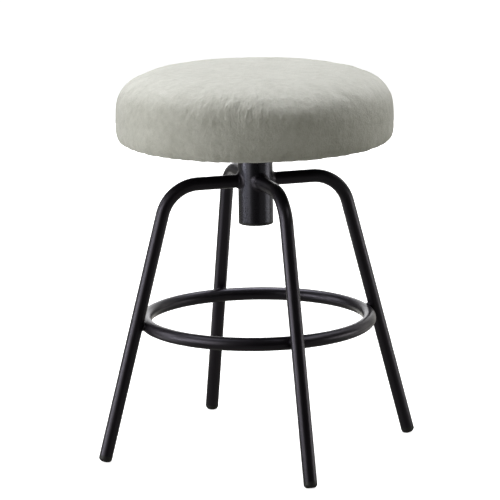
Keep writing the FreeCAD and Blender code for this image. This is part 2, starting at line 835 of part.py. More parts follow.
# Cushion: a crowned disc with a large rounding at the top edge and a small
# one at the lower edge. The fabric is the outer skin, the foam fills it.


def cushion(name, inset):
    """The cushion's form, smaller all round by inset."""
    body = new_body(name)
    sketch = sketch_on(body, name + "_profile", "XZ_Plane")
    inset = dim(inset)
    low = board_low - size("cover_thick") + inset
    stops = [
        (dim(0), low),
        (size("cover_foot") - inset, low),
        (size("cover_radius") - inset, size("cover_waist")),
        (size("cover_shoulder") - inset, size("cover_shoulder_high") - inset),
        (dim(0), size("cover_crown") - inset),
    ]
    spots = [Vector(x.number, y.number, 0) for x, y in stops]
    rise = spots[4].y - spots[3].y
    crown = (spots[3].x ** 2 + rise ** 2) / (2 * rise)
    centre = Vector(0, spots[4].y - crown, 0)
    for i in range(3):
        sketch.addGeometry(Part.LineSegment(spots[i], spots[i + 1]))
    sketch.addGeometry(Part.ArcOfCircle(
        Part.Circle(centre, Vector(0, 0, 1), crown),
        math.atan2(spots[3].y - centre.y, spots[3].x), math.pi / 2))
    sketch.addGeometry(Part.LineSegment(spots[4], spots[0]))
    for link in [(0, 2, 1, 1), (1, 2, 2, 1), (2, 2, 3, 1), (3, 2, 4, 1), (4, 2, 0, 1)]:
        sketch.addConstraint(Sketcher.Constraint("Coincident", *link))
    pin(sketch, 0, 1, *stops[0])
    pin(sketch, 1, 1, *stops[1])
    pin(sketch, 2, 1, *stops[2])
    pin(sketch, 3, 1, *stops[3])
    pin(sketch, 3, 2, *stops[4])
    sketch.addConstraint(Sketcher.Constraint("PointOnObject", 3, 3, -2))
    turn = revolve(body, name + "_turn", sketch)
    soft = round_edges(body, name + "_shoulder", turn, size("cover_top_round") - inset,
                       lies_at(spots[3].y, spots[3].x))
    round_edges(body, name + "_foot", soft, size("cover_low_round") - inset,
                lies_at(spots[1].y, spots[1].x))
    return body


cushion_out = cushion("cushion_outside", 0)
cushion_in = cushion("cushion_inside", size("cover_thick"))
cushion_core = cushion("cushion_core", size("cover_thick"))
doc.recompute()

opening = doc.addObject("Part::Cylinder", "cover_opening")
opening.setExpression("Radius", size("cover_lip").text)
opening.setExpression("Height", (size("cover_thick") + 20).text)
opening.setExpression("Placement.Base.z", (board_low - size("cover_thick") - 20).text)
hollow = doc.addObject("Part::Cut", "cover_hollow")
hollow.Base = cushion_out
hollow.Tool = cushion_in
cover = doc.addObject("Part::Cut", "seat_cover")
cover.Base = hollow
cover.Tool = opening
node(cover, "seat_cover")

slot = doc.addObject("Part::Cylinder", "board_space")
slot.setExpression("Radius", board_radius.text)
slot.setExpression("Height", (size("board_thick") + 20).text)
slot.setExpression("Placement.Base.z", (board_low - 20).text)
foam = doc.addObject("Part::Cut", "seat_foam")
foam.Base = cushion_core
foam.Tool = slot
node(foam, "seat_foam")

# Staples through the dust cover and the fabric into the board, in a ring.

staples = new_body("cover_staples")
staple_shape = sketch_on(staples, "staple_shape", "YZ_Plane", size("staple_radius"))
wire, wide = size("staple_wire"), size("staple_crown") / 2
crown_top = dust_low - dust_drop
leg_top = crown_top + size("staple_leg")
polygon(staple_shape, [
    (-wide, crown_top - wire), (wide, crown_top - wire), (wide, leg_top),
    (wide - wire, leg_top), (wide - wire, crown_top), (-wide + wire, crown_top),
    (-wide + wire, leg_top), (-wide, leg_top),
])
staple = pad(staples, "staple", staple_shape, size("staple_width"), both=True)
around(staples, "staple_ring", staple, size("staple_count"))
node(staples, "cover_staples")

# ---------------------------------------------------------------- output

doc.recompute()
for obj in doc.Objects:
    if "Invalid" in obj.State or "Error" in obj.State:
        raise RuntimeError("%s did not build: %s" % (obj.Name, obj.State))
for obj in NODES:
    shape = obj.Shape
    if shape.isNull() or not shape.isValid() or not shape.Solids:
        raise RuntimeError("%s has no sound solid" % obj.Label)

for obj in NODES:
    obj.Shape.exportStep("parts/%s.step" % obj.Label)
    box = obj.Shape.optimalBoundingBox()
    print("%-20s solids %2d  volume %10.1f  x %7.1f %7.1f  y %7.1f %7.1f  z %6.2f %6.2f" % (
        obj.Label, len(obj.Shape.Solids), obj.Shape.Volume,
        box.XMin, box.XMax, box.YMin, box.YMax, box.ZMin, box.ZMax))
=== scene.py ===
import math

import bmesh
import bpy
import numpy as np
from mathutils import Matrix, Vector, noise


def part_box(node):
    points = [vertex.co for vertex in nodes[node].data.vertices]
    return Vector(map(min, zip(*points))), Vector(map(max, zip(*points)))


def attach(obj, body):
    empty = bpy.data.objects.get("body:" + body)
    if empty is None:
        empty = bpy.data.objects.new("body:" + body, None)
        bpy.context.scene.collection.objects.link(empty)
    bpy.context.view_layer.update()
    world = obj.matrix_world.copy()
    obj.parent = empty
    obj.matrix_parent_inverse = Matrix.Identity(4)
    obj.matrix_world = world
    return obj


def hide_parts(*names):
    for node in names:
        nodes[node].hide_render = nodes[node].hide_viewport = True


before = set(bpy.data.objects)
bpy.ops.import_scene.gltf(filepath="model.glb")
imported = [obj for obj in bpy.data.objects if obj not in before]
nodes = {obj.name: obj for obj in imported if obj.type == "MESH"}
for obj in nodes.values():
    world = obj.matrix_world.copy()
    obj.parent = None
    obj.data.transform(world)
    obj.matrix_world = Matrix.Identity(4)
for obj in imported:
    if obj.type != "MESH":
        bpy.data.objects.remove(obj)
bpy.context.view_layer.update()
scene = bpy.context.scene

# ------------------------------------------------------------------ camera


def make_camera():
    """Stands where the photograph was taken from: a long lens, a little
    above the seat, to the left of the front leg."""
    around, above, roll = math.radians(-17.84), math.radians(11.97), math.radians(-0.74)
    back = Vector((math.sin(around) * math.cos(above),
                   -math.cos(around) * math.cos(above), math.sin(above)))
    right = Vector((math.cos(around), math.sin(around), 0))
    up = back.cross(right)
    level, upright = (right * math.cos(roll) + up * math.sin(roll),
                      up * math.cos(roll) - right * math.sin(roll))
    data = bpy.data.cameras.new("camera")
    data.sensor_width = 36
    data.lens = 225.8
    data.shift_x, data.shift_y = -0.0129, 0.0074
    data.clip_start, data.clip_end = 0.1, 60
    camera = bpy.data.objects.new("camera", data)
    scene.collection.objects.link(camera)
    place = Matrix((level, upright, back)).transposed().to_4x4()
    place.translation = Vector((0, 0, 0.2565)) + back * 4.0283
    camera.matrix_world = place
    scene.camera = camera
    return back, right


BACK, RIGHT = make_camera()

# ------------------------------------------------------- stage and lights


def new_material(name):
    made = bpy.data.materials.new(name)
    made.use_nodes = True
    made.node_tree.nodes.clear()
    return made, made.node_tree.nodes, made.node_tree.links


def make_floor():
    mesh = bpy.data.meshes.new("floor")
    side = 14.0
    mesh.from_pydata([(-side, -side, 0), (side, -side, 0), (side, side, 0), (-side, side, 0)],
                     [], [(0, 1, 2, 3)])
    floor = bpy.data.objects.new("floor", mesh)
    floor.location.z = -0.0003
    scene.collection.objects.link(floor)
    made, n, l = new_material("floor_paper")
    out = n.new("ShaderNodeOutputMaterial")
    paper = n.new("ShaderNodeBsdfDiffuse")
    paper.inputs["Color"].default_value = (0.92, 0.92, 0.92, 1)
    lift = n.new("ShaderNodeEmission")
    lift.inputs["Color"].default_value = (1, 1, 1, 1)
    # Far from the stool the lights fade, so the paper is lifted there.
    where = n.new("ShaderNodeNewGeometry")
    far = n.new("ShaderNodeVectorMath")
    far.operation = "LENGTH"
    rise = n.new("ShaderNodeMapRange")
    rise.interpolation_type = "SMOOTHSTEP"
    for key, value in (("From Min", 0.3), ("From Max", 1.6), ("To Min", FLOOR_LIFT), ("To Max", 1.0)):
        rise.inputs[key].default_value = value
    l.new(where.outputs["Position"], far.inputs[0])
    l.new(far.outputs["Value"], rise.inputs["Value"])
    l.new(rise.outputs["Result"], lift.inputs["Strength"])
    both = n.new("ShaderNodeAddShader")
    l.new(paper.outputs[0], both.inputs[0])
    l.new(lift.outputs[0], both.inputs[1])
    # Seen from below the floor is clear, so the seat's underside shows.
    side_of = n.new("ShaderNodeNewGeometry")
    clear = n.new("ShaderNodeBsdfTransparent")
    pick = n.new("ShaderNodeMixShader")
    l.new(side_of.outputs["Backfacing"], pick.inputs[0])
    l.new(both.outputs[0], pick.inputs[1])
    l.new(clear.outputs[0], pick.inputs[2])
    l.new(pick.outputs[0], out.inputs["Surface"])
    mesh.materials.append(made)
    floor.visible_diffuse = floor.visible_glossy = False
    return floor


def make_world(above, below, seen):
    """An even studio: one strength above the horizon, one below, a dark side
    where the camera stands, and white where the camera sees it."""
    world = bpy.data.worlds.new("studio")
    world.use_nodes = True
    n, l = world.node_tree.nodes, world.node_tree.links
    n.clear()
    out = n.new("ShaderNodeOutputWorld")
    light = n.new("ShaderNodeBackground")
    light.inputs["Color"].default_value = (1.0, 0.985, 0.88, 1)
    way = n.new("ShaderNodeTexCoord")
    split = n.new("ShaderNodeSeparateXYZ")
    level = n.new("ShaderNodeMapRange")
    for key, value in (("From Min", -0.15), ("From Max", 0.15), ("To Min", below), ("To Max", above)):
        level.inputs[key].default_value = value
    l.new(way.outputs["Generated"], split.inputs[0])
    l.new(split.outputs[2], level.inputs["Value"])
    # The dark side is narrow, so that it shows only in the middle of the tubes.
    toward = n.new("ShaderNodeVectorMath")
    toward.operation = "DOT_PRODUCT"
    toward.inputs[1].default_value = Vector((BACK.x, BACK.y, 0)).normalized()
    dark = n.new("ShaderNodeMapRange")
    dark.interpolation_type = "SMOOTHSTEP"
    for key, value in (("From Min", 0.80), ("From Max", 0.97), ("To Min", 1.0), ("To Max", 0.2)):
        dark.inputs[key].default_value = value
    both = n.new("ShaderNodeMath")
    both.operation = "MULTIPLY"
    l.new(way.outputs["Generated"], toward.inputs[0])
    l.new(toward.outputs["Value"], dark.inputs["Value"])
    l.new(level.outputs["Result"], both.inputs[0])
    l.new(dark.outputs["Result"], both.inputs[1])
    l.new(both.outputs[0], light.inputs["Strength"])
    shown = n.new("ShaderNodeBackground")
    shown.inputs["Color"].default_value = (1, 1, 1, 1)
    shown.inputs["Strength"].default_value = seen
    ray = n.new("ShaderNodeLightPath")
    pick = n.new("ShaderNodeMixShader")
    l.new(ray.outputs["Is Camera Ray"], pick.inputs[0])
    l.new(light.outputs[0], pick.inputs[1])
    l.new(shown.outputs[0], pick.inputs[2])
    l.new(pick.outputs[0], out.inputs["Surface"])
    scene.world = world


def soft_box(name, place, aim, width, height, watts, tint=(1, 1, 1)):
    data = bpy.data.lights.new(name, "AREA")
    data.shape = "RECTANGLE"
    data.size, data.size_y = width, height
    data.energy = watts
    data.color = tint
    light = bpy.data.objects.new(name, data)
    scene.collection.objects.link(light)
    light.location = place
    light.rotation_mode = "QUATERNION"
    light.rotation_quaternion = (Vector(aim) - Vector(place)).to_track_quat("-Z", "Y")
    light.visible_camera = False
    return light


FLOOR_LIFT = 0.86
make_floor()
make_world(0.04, 0.20, 1.0)
AWAY = Vector((-BACK.x, -BACK.y, 0)).normalized()
SEAT, FRAME, LOW = Vector((0, 0, 0.42)), Vector((0, 0, 0.33)), Vector((0, 0, 0.3))


def studio(turn, distance, high):
    """A place in the studio: degrees round from the camera, to its right."""
    turn = math.radians(turn)
    return RIGHT * distance * math.sin(turn) - AWAY * distance * math.cos(turn) + Vector((0, 0, high))


COOL, WARM = (0.985, 0.99, 1.03), (1.015, 1.0, 0.93)

# Soft lights above and behind, tall panels on the left, a pale wall at the
# back, low panels that draw the lines along the tubes, and light that comes
# back up from the paper.
soft_box("light_top_back", studio(180, 0.9, 2.1), SEAT, 1.4, 1.2, 29.1, COOL)
soft_box("light_top_left", studio(-90, 0.9, 2.1), SEAT, 1.2, 1.2, 9.4, COOL)
soft_box("light_top_right", studio(90, 0.9, 2.1), SEAT, 1.2, 1.2, 7.0, COOL)
soft_box("light_behind_right", studio(120, 1.5, 1.9), SEAT, 0.9, 0.9, 3.5)
soft_box("light_above_right", studio(60, 1.5, 1.9), SEAT, 0.9, 0.9, 4.6, WARM)
soft_box("wall_behind", studio(180, 2.6, 1.0), FRAME, 5.0, 2.2, 6.7)
soft_box("wall_middle", studio(180, 2.5, 0.55), FRAME, 1.6, 1.1, 12.0)
soft_box("panel_left", studio(-98, 2.1, 0.95), FRAME, 0.6, 1.1, 7.8)
soft_box("panel_left_front", studio(-64, 2.1, 0.85), FRAME, 0.6, 0.9, 5.3)
soft_box("panel_left_low", studio(-64, 2.1, 0.5), FRAME, 0.6, 0.9, 4.2)
soft_box("panel_left_high", studio(-66, 2.0, 1.35), FRAME, 0.7, 0.9, 1.2)
soft_box("panel_front", studio(-46, 2.1, 0.6), FRAME, 0.6, 1.5, 4.6, WARM)
soft_box("panel_front_high", studio(-46, 2.1, 0.95), FRAME, 0.6, 1.1, 2.7, WARM)
soft_box("panel_right_back", studio(152, 2.1, 0.6), FRAME, 0.6, 1.5, 1.7, WARM)
soft_box("panel_right", studio(124, 2.1, 0.6), FRAME, 0.6, 1.5, 3.0, WARM)
soft_box("low_left", studio(-80, 1.9, 0.2), LOW, 0.55, 0.42, 5.3)
soft_box("low_right", studio(94, 1.9, 0.2), LOW, 0.55, 0.42, 2.8, WARM)
soft_box("low_right_front", studio(78, 1.9, 0.2), LOW, 0.45, 0.42, 1.6, WARM)
soft_box("floor_left", studio(-100, 0.62, 0.004), studio(-100, 0.62, 1), 0.5, 0.6, 0.85)
soft_box("floor_right", studio(110, 0.62, 0.004), studio(110, 0.62, 1), 0.5, 0.6, 0.45, WARM)
soft_box("floor_back", studio(180, 0.7, 0.004), studio(180, 0.7, 1), 0.9, 0.5, 1.5, WARM)

scene.view_settings.view_transform = "Standard"
scene.view_settings.look = "None"

# --------------------------------------------------------------- materials


class Graph:
    """A small helper for writing shader nodes: one Principled surface."""

    def __init__(self, name):
        self.material, self.n, self.l = new_material(name)
        self.out = self.n.new("ShaderNodeOutputMaterial")
        self.surface = self.n.new("ShaderNodeBsdfPrincipled")
        self.l.new(self.surface.outputs[0], self.out.inputs["Surface"])
        self.place = self.n.new("ShaderNodeTexCoord").outputs["Object"]

    def set(self, **values):
        for key, value in values.items():
            socket = self.surface.inputs[key.replace("_", " ")]
            if isinstance(value, bpy.types.NodeSocket):
                self.l.new(value, socket)
            else:
                socket.default_value = value
        return self

    def link(self, value, socket):
        if isinstance(value, bpy.types.NodeSocket):
            self.l.new(value, socket)
        elif value is not None:
            socket.default_value = value

    def scaled(self, vector, by):
        node = self.n.new("ShaderNodeVectorMath")
        node.operation = "MULTIPLY"
        self.link(vector, node.inputs[0])
        node.inputs[1].default_value = by
        return node.outputs[0]

    def noise(self, scale, detail=3.0, rough=0.55, distort=0.0, at=None, lac=2.0):
        node = self.n.new("ShaderNodeTexNoise")
        self.link(at or self.place, node.inputs["Vector"])
        node.inputs["Scale"].default_value = scale
        node.inputs["Detail"].default_value = detail
        node.inputs["Roughness"].default_value = rough
        node.inputs["Lacunarity"].default_value = lac
        node.inputs["Distortion"].default_value = distort
        return node.outputs["Fac"]

    def noise_colour(self, scale, detail=2.0, at=None):
        node = self.n.new("ShaderNodeTexNoise")
        self.link(at or self.place, node.inputs["Vector"])
        node.inputs["Scale"].default_value = scale
        node.inputs["Detail"].default_value = detail
        return node.outputs["Color"]

    def cells(self, scale, feature="F1", at=None, random=1.0, smooth=None):
        node = self.n.new("ShaderNodeTexVoronoi")
        node.feature = feature
        self.link(at or self.place, node.inputs["Vector"])
        node.inputs["Scale"].default_value = scale
        node.inputs["Randomness"].default_value = random
        if smooth is not None and "Smoothness" in node.inputs:
            node.inputs["Smoothness"].default_value = smooth
        return node.outputs["Distance"]

    def bands(self, scale, axis, at=None, distort=0.0, detail=2.0, fine=1.0, profile="SIN"):
        node = self.n.new("ShaderNodeTexWave")
        node.wave_type = "BANDS"
        node.bands_direction = axis
        node.wave_profile = profile
        self.link(at or self.place, node.inputs["Vector"])
        node.inputs["Scale"].default_value = scale
        node.inputs["Distortion"].default_value = distort
        node.inputs["Detail"].default_value = detail
        node.inputs["Detail Scale"].default_value = fine
        return node.outputs["Fac"]

    def math(self, kind, a, b=None, c=None, clamp=False):
        node = self.n.new("ShaderNodeMath")
        node.operation = kind
        node.use_clamp = clamp
        self.link(a, node.inputs[0])
        if b is not None:
            self.link(b, node.inputs[1])
        if c is not None:
            self.link(c, node.inputs[2])
        return node.outputs[0]

    def span(self, value, low, high, to_low=0.0, to_high=1.0):
        node = self.n.new("ShaderNodeMapRange")
        self.link(value, node.inputs["Value"])
        node.inputs["From Min"].default_value = low
        node.inputs["From Max"].default_value = high
        node.inputs["To Min"].default_value = to_low
        node.inputs["To Max"].default_value = to_high
        return node.outputs["Result"]

    def blend(self, share, a, b, kind="MIX"):
        node = self.n.new("ShaderNodeMix")
        node.data_type = "RGBA"
        node.blend_type = kind
        self.link(share, node.inputs["Factor"])
        for value, socket in ((a, node.inputs[6]), (b, node.inputs[7])):
            if isinstance(value, tuple) and len(value) == 3:
                value = (*value, 1.0)
            self.link(value, socket)
        return node.outputs[2]

    def ramp(self, value, *stops):
        node = self.n.new("ShaderNodeValToRGB")
        self.link(value, node.inputs[0])
        bar = node.color_ramp
        while len(bar.elements) < len(stops):
            bar.elements.new(0.5)
        for element, (at, colour) in zip(bar.elements, stops):
            element.position = at
            element.color = (*colour, 1.0)
        return node.outputs[0]

    def bump(self, height, strength, distance, base=None):
        node = self.n.new("ShaderNodeBump")
        node.inputs["Strength"].default_value = strength
        node.inputs["Distance"].default_value = distance
        self.link(height, node.inputs["Height"])
        if base is not None:
            self.link(base, node.inputs["Normal"])
        return node.outputs[0]


def powder_coat(name, tint, rough_by, shine):
    g = Graph(name)
    wide = g.noise(14, 3)
    peel = g.noise(620, 2, 0.5)
    grit = g.noise(2600, 2, 0.6)
    tone = g.ramp(wide, (0.3, (0.0054, 0.0044, 0.0058)), (0.7, (0.0082, 0.0068, 0.0087)))
    speck = g.span(g.noise(3800, 1, 0.5), 0.70, 0.78)
    tone = g.blend(g.math("MULTIPLY", speck, 0.25), tone, (0.04, 0.037, 0.042))
    rough = g.math("ADD", g.span(wide, 0.3, 0.7, rough_by - 0.025, rough_by + 0.025),
                   g.span(peel, 0.3, 0.7, -0.03, 0.03))
    height = g.math("ADD", g.math("MULTIPLY", peel, 1.0), g.math("MULTIPLY", grit, 0.25))
    g.set(Base_Color=tone, Roughness=rough, Normal=g.bump(height, 0.22, 0.00022))
    g.set(IOR=1.5, Specular_IOR_Level=shine, Specular_Tint=tint)
    return g.material


def moulded_plastic(name, dark, light, rough, grain=1500):
    g = Graph(name)
    wide = g.noise(60, 3)
    fine = g.cells(grain, "SMOOTH_F1", smooth=0.4)
    tone = g.blend(g.span(wide, 0.3, 0.7), dark, light)
    g.set(Base_Color=tone,
          Roughness=g.span(wide, 0.3, 0.7, rough - 0.05, rough + 0.05),
          Normal=g.bump(fine, 0.25, 0.00015))
    return g.material


def bright_zinc():
    g = Graph("bright_zinc")
    patch = g.noise(240, 3)
    crystal = g.cells(700, "F1")
    tone = g.ramp(patch, (0.3, (0.47, 0.48, 0.49)), (0.55, (0.60, 0.60, 0.59)),
                  (0.75, (0.64, 0.62, 0.56)))
    g.set(Base_Color=tone, Metallic=1.0,
          Roughness=g.span(crystal, 0.0, 0.8, 0.24, 0.40),
          Normal=g.bump(crystal, 0.08, 0.0002))
    return g.material


def turned_steel():
    g = Graph("turned_steel")
    lines = g.noise(1, 3, at=g.scaled(g.place, (60, 60, 5200)))
    patch = g.noise(90, 3)
    tone = g.ramp(patch, (0.3, (0.36, 0.36, 0.37)), (0.7, (0.50, 0.50, 0.50)))
    g.set(Base_Color=tone, Metallic=1.0, Roughness=g.span(lines, 0.3, 0.7, 0.26, 0.42),
          Normal=g.bump(lines, 0.12, 0.0001))
    return g.material


def bearing_steel():
    g = Graph("ground_bearing_steel")
    film = g.noise(120, 2)
    lines = g.noise(1, 2, at=g.scaled(g.place, (80, 80, 4000)))
    g.set(Base_Color=g.ramp(film, (0.3, (0.56, 0.56, 0.57)), (0.7, (0.66, 0.66, 0.66))),
          Metallic=1.0, Roughness=g.span(film, 0.3, 0.7, 0.14, 0.24),
          Normal=g.bump(lines, 0.05, 0.0001))
    return g.material


def pressed_brass():
    g = Graph("pressed_brass")
    film = g.noise(150, 3)
    g.set(Base_Color=g.ramp(film, (0.3, (0.44, 0.31, 0.12)), (0.7, (0.62, 0.46, 0.20))),
          Metallic=1.0, Roughness=g.span(film, 0.3, 0.7, 0.28, 0.42),
          Normal=g.bump(g.noise(900, 2), 0.06, 0.0001))
    return g.material


def plywood():
    g = Graph("plywood")
    grain = g.noise(1, 5, 0.6, at=g.scaled(g.place, (26, 420, 420)))
    rings = g.bands(9, "Y", at=g.scaled(g.place, (1.2, 1, 1)), distort=7, detail=3, fine=0.8)
    plies = g.bands(1 / 0.0052, "Z", profile="TRI")
    face = g.ramp(g.math("ADD", g.math("MULTIPLY", grain, 0.65), g.math("MULTIPLY", rings, 0.35)),
                  (0.25, (0.36, 0.22, 0.105)), (0.75, (0.58, 0.40, 0.22)))
    tone = g.blend(g.math("MULTIPLY", plies, 0.25), face, (0.30, 0.18, 0.085))
    g.set(Base_Color=tone, Roughness=g.span(grain, 0.2, 0.8, 0.62, 0.8),
          Normal=g.bump(grain, 0.25, 0.0003))
    return g.material


def lining_cloth():
    """Black non-woven lining: loose fibres, pressed with a grid of points."""
    g = Graph("lining_nonwoven")
    skew = g.noise_colour(260, 2)
    bent = g.n.new("ShaderNodeVectorMath")
    bent.operation = "MULTIPLY_ADD"
    g.link(skew, bent.inputs[0])
    bent.inputs[1].default_value = (0.0012, 0.0012, 0.0)
    g.link(g.place, bent.inputs[2])
    points = g.cells(640, "F1", at=bent.outputs[0], random=0.12)
    dots = g.span(points, 0.18, 0.34)
    fibre = g.noise(1, 4, 0.7, at=g.scaled(bent.outputs[0], (2600, 700, 2600)))
    cross = g.noise(1, 4, 0.7, at=g.scaled(bent.outputs[0], (700, 2600, 2600)))
    mesh = g.math("MAXIMUM", fibre, cross)
    tone = g.ramp(mesh, (0.40, (0.010, 0.010, 0.0105)), (0.72, (0.040, 0.040, 0.042)))
    tone = g.blend(g.math("SUBTRACT", 1.0, dots), tone, (0.016, 0.016, 0.017))
    height = g.math("ADD", g.math("MULTIPLY", dots, 0.7), g.math("MULTIPLY", mesh, 0.5))
    g.set(Base_Color=tone, Roughness=g.span(dots, 0.0, 1.0, 0.62, 0.9),
          Normal=g.bump(height, 0.6, 0.0004))
    g.set(Sheen_Weight=0.08, Sheen_Roughness=0.5)
    return g.material


def seat_cloth():
    """Short-pile furnishing cloth in a warm light grey. Its flat coordinate
    runs with the cloth, over the edge and down the side."""
    g = Graph("seat_cloth")
    flat = g.n.new("ShaderNodeAttribute")
    flat.attribute_name = "flat"
    cloth = flat.outputs["Vector"]
    fall = g.n.new("ShaderNodeAttribute")
    fall.attribute_name = "fall"
    brushed = g.n.new("ShaderNodeAttribute")
    brushed.attribute_name = "brushed"
    share = g.n.new("ShaderNodeSeparateXYZ")
    g.link(brushed.outputs["Vector"], share.inputs[0])
    comb = g.math("MULTIPLY", share.outputs[0],
                  g.noise(1, 3, 0.6, at=g.scaled(fall.outputs["Vector"], (150, 150, 78))))
    cloud = g.noise(26, 4, 0.6)
    mottle = g.noise(115, 4, 0.62)
    nap = g.noise(420, 3, 0.6)
    fluff = g.noise(2300, 3, 0.65)
    skew = g.noise_colour(520, 2)
    bent = g.n.new("ShaderNodeVectorMath")
    bent.operation = "MULTIPLY_ADD"
    g.link(skew, bent.inputs[0])
    bent.inputs[1].default_value = (0.0011, 0.0011, 0.0)
    g.link(cloth, bent.inputs[2])
    warp = g.bands(1 / 0.0017 / 6.2832 * 3.1416, "X", at=bent.outputs[0])
    weft = g.bands(1 / 0.0017 / 6.2832 * 3.1416, "Y", at=bent.outputs[0])
    weave = g.math("MULTIPLY", warp, weft)
    # Colour: a soft mottle, and single darker and paler fibres.
    blend = g.math("ADD", g.math("MULTIPLY", cloud, 0.30),
                   g.math("ADD", g.math("MULTIPLY", mottle, 0.52), g.math("MULTIPLY", nap, 0.18)))
    tone = g.ramp(blend, (0.34, (0.460, 0.463, 0.410)), (0.52, (0.565, 0.567, 0.512)),
                  (0.68, (0.640, 0.640, 0.586)))
    dark = g.span(fluff, 0.50, 0.34)
    pale = g.span(g.noise(2900, 2, 0.6), 0.56, 0.72)
    tone = g.blend(g.math("MULTIPLY", dark, 0.34), tone, (0.30, 0.295, 0.255))
    tone = g.blend(g.math("MULTIPLY", pale, 0.30), tone, (0.80, 0.80, 0.755))
    # Relief: the lie of the nap, its tufts, then weave, then fibres.
    laid = g.bump(comb, 0.85, 0.0045)
    tuft = g.bump(g.math("ADD", g.math("MULTIPLY", mottle, 0.6), g.math("MULTIPLY", nap, 0.55)),
                  0.54, 0.0030, base=laid)
    woven = g.bump(weave, 0.14, 0.0006, base=tuft)
    fibre = g.bump(fluff, 0.18, 0.0006, base=woven)
    g.set(Base_Color=tone, Roughness=g.span(nap, 0.3, 0.7, 0.86, 0.98), Normal=fibre)
    g.set(Specular_IOR_Level=0.12, Sheen_Weight=0.6, Sheen_Roughness=0.45)
    g.set(Sheen_Tint=(0.94, 0.94, 0.90, 1.0))
    return g.material


def foam():
    g = Graph("seat_foam")
    pores = g.cells(900, "F1")
    # The colour is darker at the middle of each pore, where the bump makes a hollow: painted shade in the pore
    # hollows.
    tone = g.ramp(pores, (0.0, (0.45, 0.37, 0.20)), (0.5, (0.72, 0.64, 0.42)))
    g.set(Base_Color=tone, Roughness=g.span(pores, 0.0, 0.8, 0.95, 0.85),
          Normal=g.bump(pores, 0.5, 0.0006))
    return g.material


COAT = powder_coat("powder_coat_black", (0.985, 0.93, 1.13, 1.0), 0.335, 0.5)
HUB_COAT = powder_coat("hub_coat_black", (0.94, 0.945, 1.17, 1.0), 0.29, 0.74)
GLIDE = moulded_plastic("glide_plastic", (0.010, 0.010, 0.0105), (0.016, 0.016, 0.0165), 0.52)
BUSH = moulded_plastic("bush_plastic", (0.56, 0.55, 0.50), (0.66, 0.65, 0.60), 0.42, 1100)
ZINC, TURNED, GROUND, BRASS = bright_zinc(), turned_steel(), bearing_steel(), pressed_brass()
PLY, LINING, CLOTH, FOAM = plywood(), lining_cloth(), seat_cloth(), foam()

FINISH = {
    "leg_right": COAT, "leg_back": COAT, "leg_left": COAT, "leg_front": COAT,
    "foot_ring": COAT, "hub_tube": HUB_COAT, "hub_weld_beads": COAT, "ring_weld_beads": COAT,
    "seat_plate": COAT,
    "foot_glide_right": GLIDE, "foot_glide_back": GLIDE, "foot_glide_left": GLIDE,
    "foot_glide_front": GLIDE, "hub_end_cap": GLIDE,
    "upper_bush": BUSH, "lower_bush": BUSH,
    "bearing_lower_race": GROUND, "bearing_upper_race": GROUND, "bearing_balls": GROUND,
    "bearing_cage": BRASS, "swivel_shaft": TURNED,
    "retaining_washer": ZINC, "retaining_bolt": ZINC, "plate_bolts": ZINC,
    "plate_washers": ZINC, "tee_nuts": ZINC, "cover_staples": ZINC,
    "seat_board": PLY, "seat_foam": FOAM, "seat_cover": CLOTH, "dust_cover": LINING,
}
for name, finish in FINISH.items():
    mesh = nodes[name].data
    mesh.materials.clear()
    mesh.materials.append(finish)

# ------------------------------------------------------------ mesh helpers

MM = 0.001


def box_mm(name):
    low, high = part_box(name)
    return np.array(low) / MM, np.array(high) / MM


def points_of(mesh):
    co = np.zeros(len(mesh.vertices) * 3, np.float32)
    mesh.vertices.foreach_get("co", co)
    return co.reshape(-1, 3).astype(float)


def set_points(mesh, co):
    mesh.vertices.foreach_set("co", np.ascontiguousarray(co, np.float32).ravel())
    mesh.update()


def normals_of(mesh):
    no = np.zeros(len(mesh.vertices) * 3, np.float32)
    mesh.vertices.foreach_get("normal", no)
    return no.reshape(-1, 3).astype(float)


def vectors_of(mesh, name):
    out = np.zeros(len(mesh.vertices) * 3, np.float32)
    mesh.attributes[name].data.foreach_get("vector", out)
    return out.reshape(-1, 3).astype(float)


def keep_vectors(mesh, name, values):
    store = mesh.attributes.new(name, "FLOAT_VECTOR", "POINT")
    store.data.foreach_set("vector", np.ascontiguousarray(values, np.float32).ravel())


def smooth_step(value, low, high):
    t = np.clip((np.asarray(value, float) - low) / (high - low), 0, 1)
    return t * t * (3 - 2 * t)


def wander(co, size, seed, depth=2):
    """Smooth signed noise with features of about the given size, in metres."""
    shift = Vector((seed * 17.3, seed * 5.7, seed * 11.9))
    return np.array([noise.fractal(Vector(p) / size + shift, 0.9, 2.0, depth) for p in co])


def new_object(name, co, faces, smooth=True):
    mesh = bpy.data.meshes.new(name)
    mesh.from_pydata([tuple(map(float, p)) for p in co], [], faces)
    mesh.validate()
    mesh.polygons.foreach_set("use_smooth", [smooth] * len(mesh.polygons))
    made = bpy.data.objects.new(name, mesh)
    scene.collection.objects.link(made)
    return made


def baked(obj):
    """Applies an object's modifiers to its mesh."""
    bpy.context.view_layer.update()
    graph = bpy.context.evaluated_depsgraph_get()
    fresh = bpy.data.meshes.new_from_object(obj.evaluated_get(graph), preserve_all_data_layers=True,
                                            depsgraph=graph)
    old, name = obj.data, obj.data.name
    obj.modifiers.clear()
    obj.data = fresh
    bpy.data.meshes.remove(old)
    fresh.name = name
    return obj


def disc_grid(n):
    """A square grid of quads drawn into a rounded patch of about unit radius."""
    t = math.sqrt(2) * np.sin(np.linspace(-math.pi / 4, math.pi / 4, n + 1))
    u, v = np.meshgrid(t, t, indexing="ij")
    return (0.62 * u * np.sqrt(1 - v * v / 2) + 0.30 * u,
            0.62 * v * np.sqrt(1 - u * u / 2) + 0.30 * v)


def disc_loop(n):
    """The grid's outer vertices in order, anticlockwise from the right."""
    return ([(n, j) for j in range(n)] + [(n - i, n) for i in range(n)]
            + [(0, n - j) for j in range(n)] + [(i, 0) for i in range(n)])


def arc_lengths(profile):
    return np.concatenate([[0], np.cumsum(np.linalg.norm(np.diff(profile, axis=0), axis=1))])


